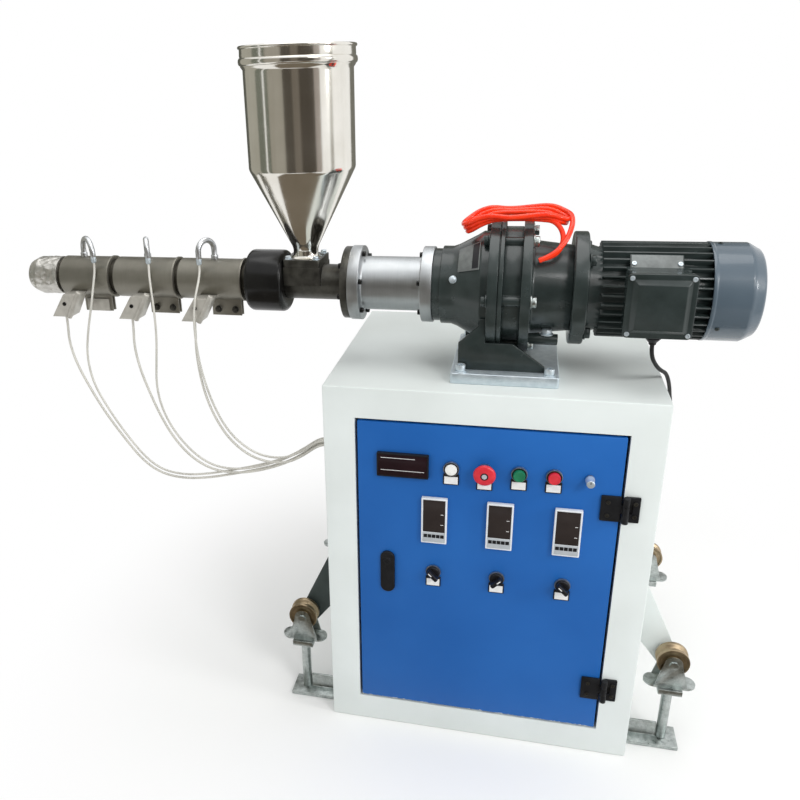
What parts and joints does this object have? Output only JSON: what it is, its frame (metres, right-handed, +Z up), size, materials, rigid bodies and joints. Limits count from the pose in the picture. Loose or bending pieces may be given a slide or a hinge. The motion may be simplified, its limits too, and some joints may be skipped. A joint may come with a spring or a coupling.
{
  "type": "plastic extruder",
  "caption": "Small single-screw plastic extruder: hopper, heated barrel, reducer and motor in line on a control cabinet with a hinged instrument door and side rollers.",
  "frame": {"origin": "on the floor under the middle of the cabinet", "axes": "+X along the drive line from nozzle to motor, +Y to the cabinet's back, +Z up"},
  "size_m": [1.401, 0.526, 1.34],
  "materials": {
    "white_paint": "powder coated, satin",
    "blue_paint": "powder coated, satin",
    "slate_paint": "enamel paint, semi gloss",
    "cover_paint": "enamel paint on pressed sheet",
    "brace_paint": "dark enamel paint",
    "black_cast": "black powder coat on zinc casting",
    "zinc_steel": "zinc plated, bright",
    "yellow_zinc": "yellow passivated zinc, worn",
    "turned_aluminium": "fine turned",
    "throat_steel": "machined, oiled dark steel",
    "black_oxide": "black oxide, satin",
    "polished_stainless": "spun and polished stainless steel",
    "nitrided_steel": "nitrided, dull",
    "head_casting": "rough, heat stained",
    "heater_sheet": "rolled sheet, heat tinted",
    "cap_sheet": "stamped sheet, dull",
    "braid": "braided wire sleeve",
    "black_rubber": "moulded rubber",
    "red_hose": "extruded polyurethane tube",
    "black_plastic": "moulded plastic",
    "controller_plastic": "moulded light grey plastic",
    "meter_plastic": "tinted window in a black bezel",
    "lamp_plastic": "translucent white lens",
    "chrome_ring": "bright plated ring",
    "red_plastic": "moulded plastic",
    "green_plastic": "moulded plastic"
  },
  "bodies": {
    "machine": {"cabinet_side_walls": "white_paint", "cabinet_back_wall": "white_paint", "cabinet_top": "white_paint", "cabinet_floor": "white_paint", "front_stiles": "white_paint", "front_rails": "white_paint", "hinge_frame_leaves": "black_cast", "roller_feet": "zinc_steel", "roller_posts": "zinc_steel", "roller_forks": "zinc_steel", "roller_braces": "brace_paint", "stand_base_plate": "zinc_steel", "stand_bracket": "slate_paint", "reducer_output_housing": "slate_paint", "reducer_pin_ring": "slate_paint", "reducer_input_housing": "slate_paint", "motor_adapter_flange": "slate_paint", "motor_frame": "slate_paint", "terminal_box": "slate_paint", "terminal_box_lid": "slate_paint", "cable_gland": "black_plastic", "fan_cover": "cover_paint", "coupling_lantern": "turned_aluminium", "feed_throat": "throat_steel", "hopper_flange": "throat_steel", "hopper": "polished_stainless", "ring_nut": "black_oxide", "barrel": "nitrided_steel", "nozzle_head": "head_casting", "heater_bands": "heater_sheet", "heater_terminal_caps": "cap_sheet", "thermocouples": "heater_sheet", "cable_grommets": "black_rubber", "heater_lead_1": "braid", "heater_lead_2": "braid", "heater_lead_3": "braid", "thermocouple_cable_1": "braid", "thermocouple_cable_2": "braid", "thermocouple_cable_3": "braid", "motor_cable": "black_rubber", "hose_coil": "red_hose"},
    "door": {"door_panel": "blue_paint", "hinge_door_leaves": "black_cast", "door_lock": "black_cast", "speed_meter": "meter_plastic", "temperature_controllers": "controller_plastic", "pilot_lamp": "lamp_plastic", "switch_bezels": "chrome_ring"},
    "selector_knob_1": {"selector_knob_1": "black_plastic"},
    "selector_knob_2": {"selector_knob_2": "black_plastic"},
    "selector_knob_3": {"selector_knob_3": "black_plastic"},
    "speed_knob": {"speed_knob": "chrome_ring"},
    "start_button": {"start_button": "green_plastic"},
    "stop_button": {"stop_button": "red_plastic"},
    "emergency_stop": {"emergency_stop": "red_plastic"},
    "wheel_front_left": {"wheel_front_left": "yellow_zinc"},
    "wheel_front_right": {"wheel_front_right": "yellow_zinc"},
    "wheel_rear_left": {"wheel_rear_left": "yellow_zinc"},
    "wheel_rear_right": {"wheel_rear_right": "yellow_zinc"}
  },
  "joints": [
    {"name": "door_swing", "type": "hinge", "parent": "machine", "child": "door", "pos_m": [0.244, -0.258, 0.38], "axis": [0, 0, 1], "range_deg": [0, 120]},
    {"name": "selector_1_turn", "type": "hinge", "parent": "door", "child": "selector_knob_1", "pos_m": [-0.09, -0.265, 0.393], "axis": [0, 1, 0], "range_deg": [0, 90]},
    {"name": "selector_2_turn", "type": "hinge", "parent": "door", "child": "selector_knob_2", "pos_m": [0.03, -0.265, 0.393], "axis": [0, 1, 0], "range_deg": [-90, 0]},
    {"name": "selector_3_turn", "type": "hinge", "parent": "door", "child": "selector_knob_3", "pos_m": [0.15, -0.265, 0.393], "axis": [0, 1, 0], "range_deg": [0, 90]},
    {"name": "speed_turn", "type": "hinge", "parent": "door", "child": "speed_knob", "pos_m": [0.18, -0.262, 0.618], "axis": [0, 1, 0], "range_deg": [0, 270]},
    {"name": "start_press", "type": "slide", "parent": "door", "child": "start_button", "axis": [0, 1, 0], "range_m": [0, 0.003], "stiffness_N_per_m": 900},
    {"name": "stop_press", "type": "slide", "parent": "door", "child": "stop_button", "axis": [0, 1, 0], "range_m": [0, 0.003], "stiffness_N_per_m": 900},
    {"name": "emergency_press", "type": "slide", "parent": "door", "child": "emergency_stop", "axis": [0, 1, 0], "range_m": [0, 0.004]},
    {"name": "wheel_front_left_spin", "type": "hinge", "parent": "machine", "child": "wheel_front_left", "pos_m": [-0.375, -0.185, 0.203], "axis": [0, 1, 0], "continuous": true},
    {"name": "wheel_front_right_spin", "type": "hinge", "parent": "machine", "child": "wheel_front_right", "pos_m": [0.375, -0.185, 0.203], "axis": [0, 1, 0], "continuous": true},
    {"name": "wheel_rear_left_spin", "type": "hinge", "parent": "machine", "child": "wheel_rear_left", "pos_m": [-0.375, 0.185, 0.203], "axis": [0, 1, 0], "continuous": true},
    {"name": "wheel_rear_right_spin", "type": "hinge", "parent": "machine", "child": "wheel_rear_right", "pos_m": [0.375, 0.185, 0.203], "axis": [0, 1, 0], "continuous": true}
  ]
}
